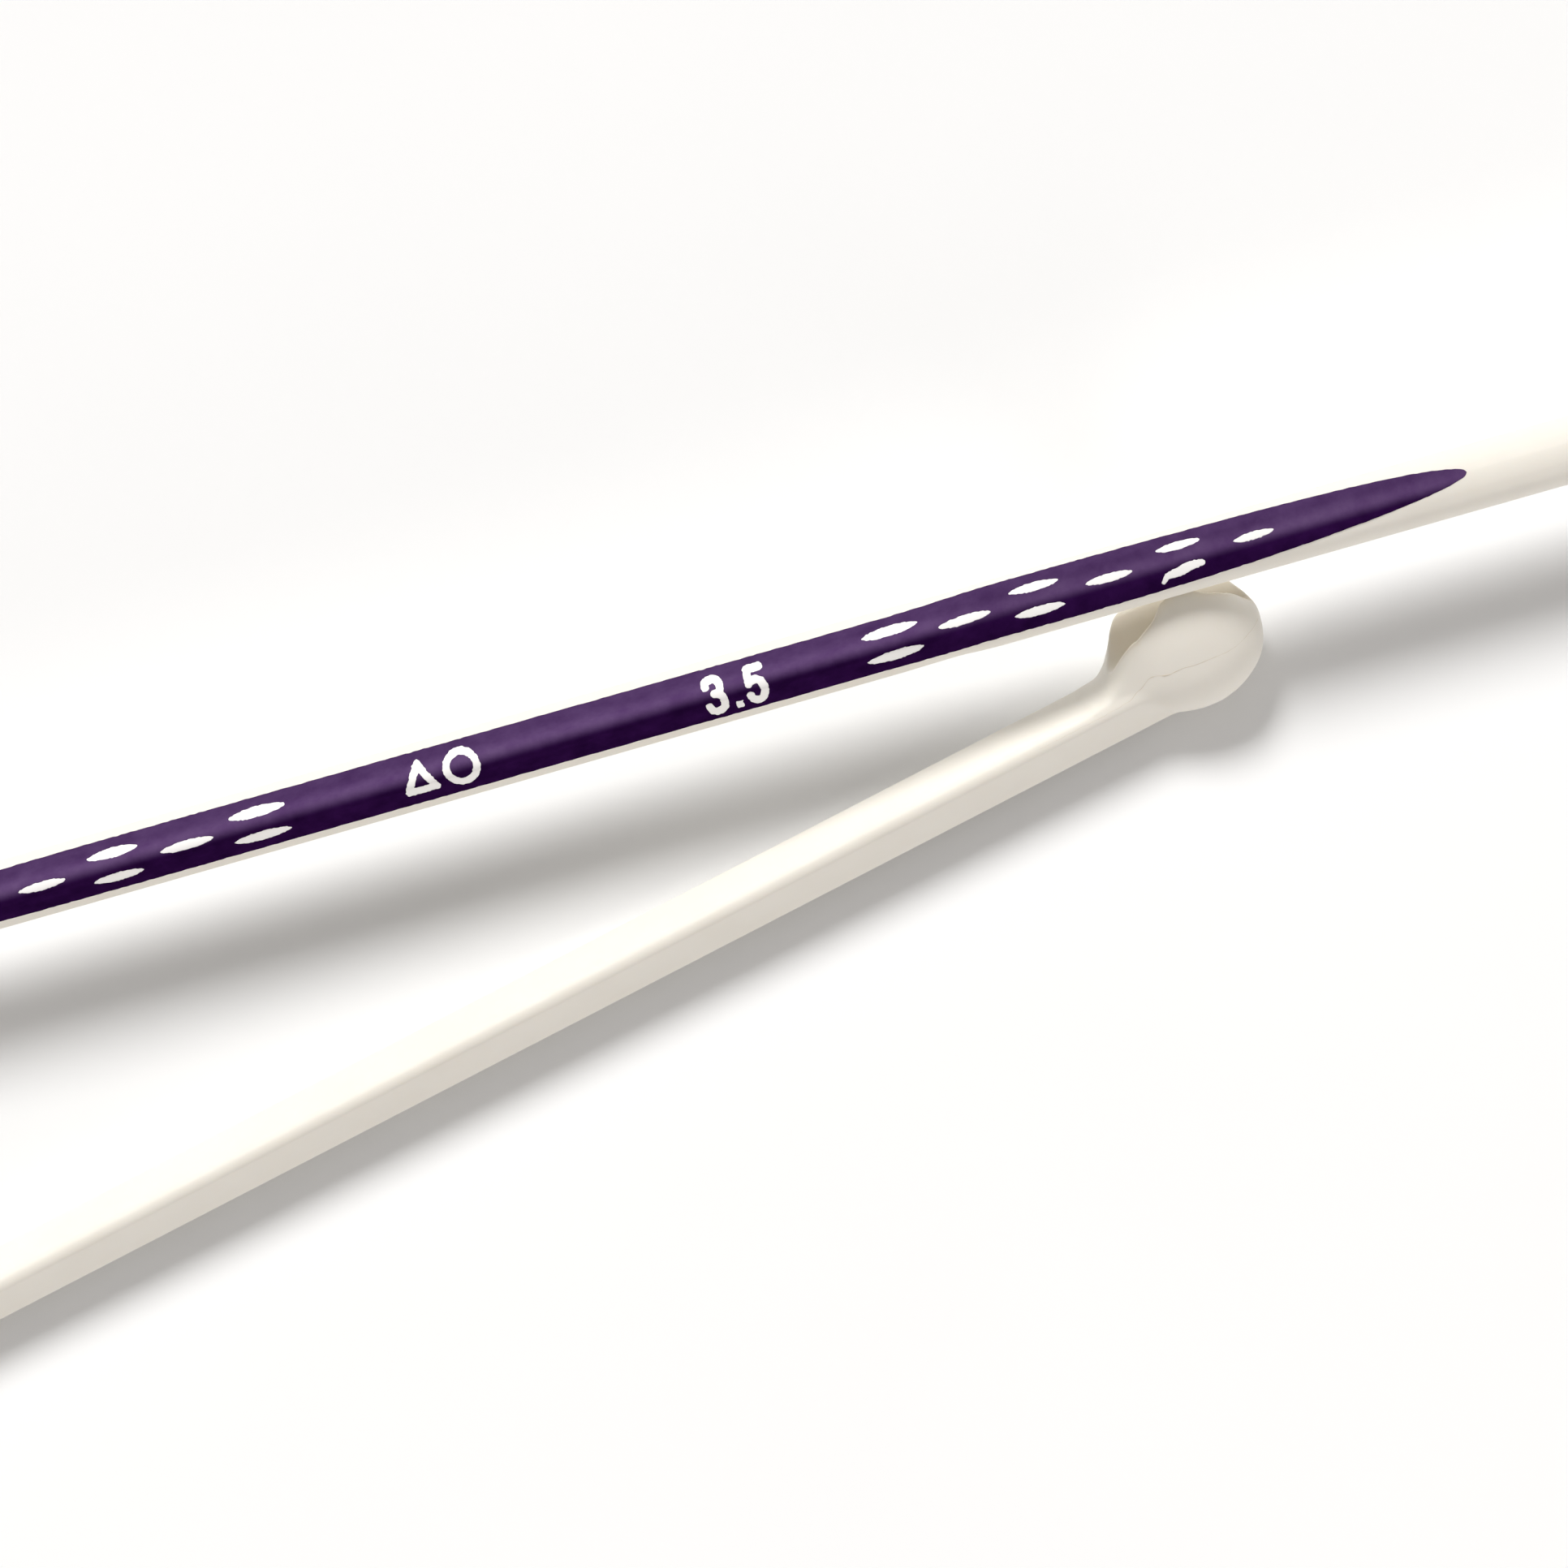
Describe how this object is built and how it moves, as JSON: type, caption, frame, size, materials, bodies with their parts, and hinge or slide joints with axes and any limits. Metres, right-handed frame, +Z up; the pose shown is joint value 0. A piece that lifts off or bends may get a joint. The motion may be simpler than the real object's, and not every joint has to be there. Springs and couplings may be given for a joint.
{
  "type": "pair of straight knitting needles",
  "caption": "Pair of straight knitting needles with rounded-triangle shafts, round points, slotted ball heads and a printed band; one needle rests across the other's head.",
  "frame": {"origin": "middle of the bounding box at its base, which is the table the needles lie on", "axes": "+X along the lower needle towards its head, +Y across the needles on the table, +Z up"},
  "size_m": [0.407, 0.0726, 0.0094],
  "materials": {
    "ivory_polymer": "injection-moulded ivory polymer, satin, slightly translucent",
    "violet_ink": "dark violet transfer print, satin"
  },
  "bodies": {
    "lower": {"lower_needle": "ivory_polymer", "lower_print_band": "violet_ink"},
    "upper": {"upper_needle": "ivory_polymer", "upper_print_band": "violet_ink"}
  },
  "joints": [
    {"name": "upper_lift", "type": "slide", "parent": "lower", "child": "upper", "axis": [0, 0, 1], "range_m": [0, 0.05]}
  ]
}
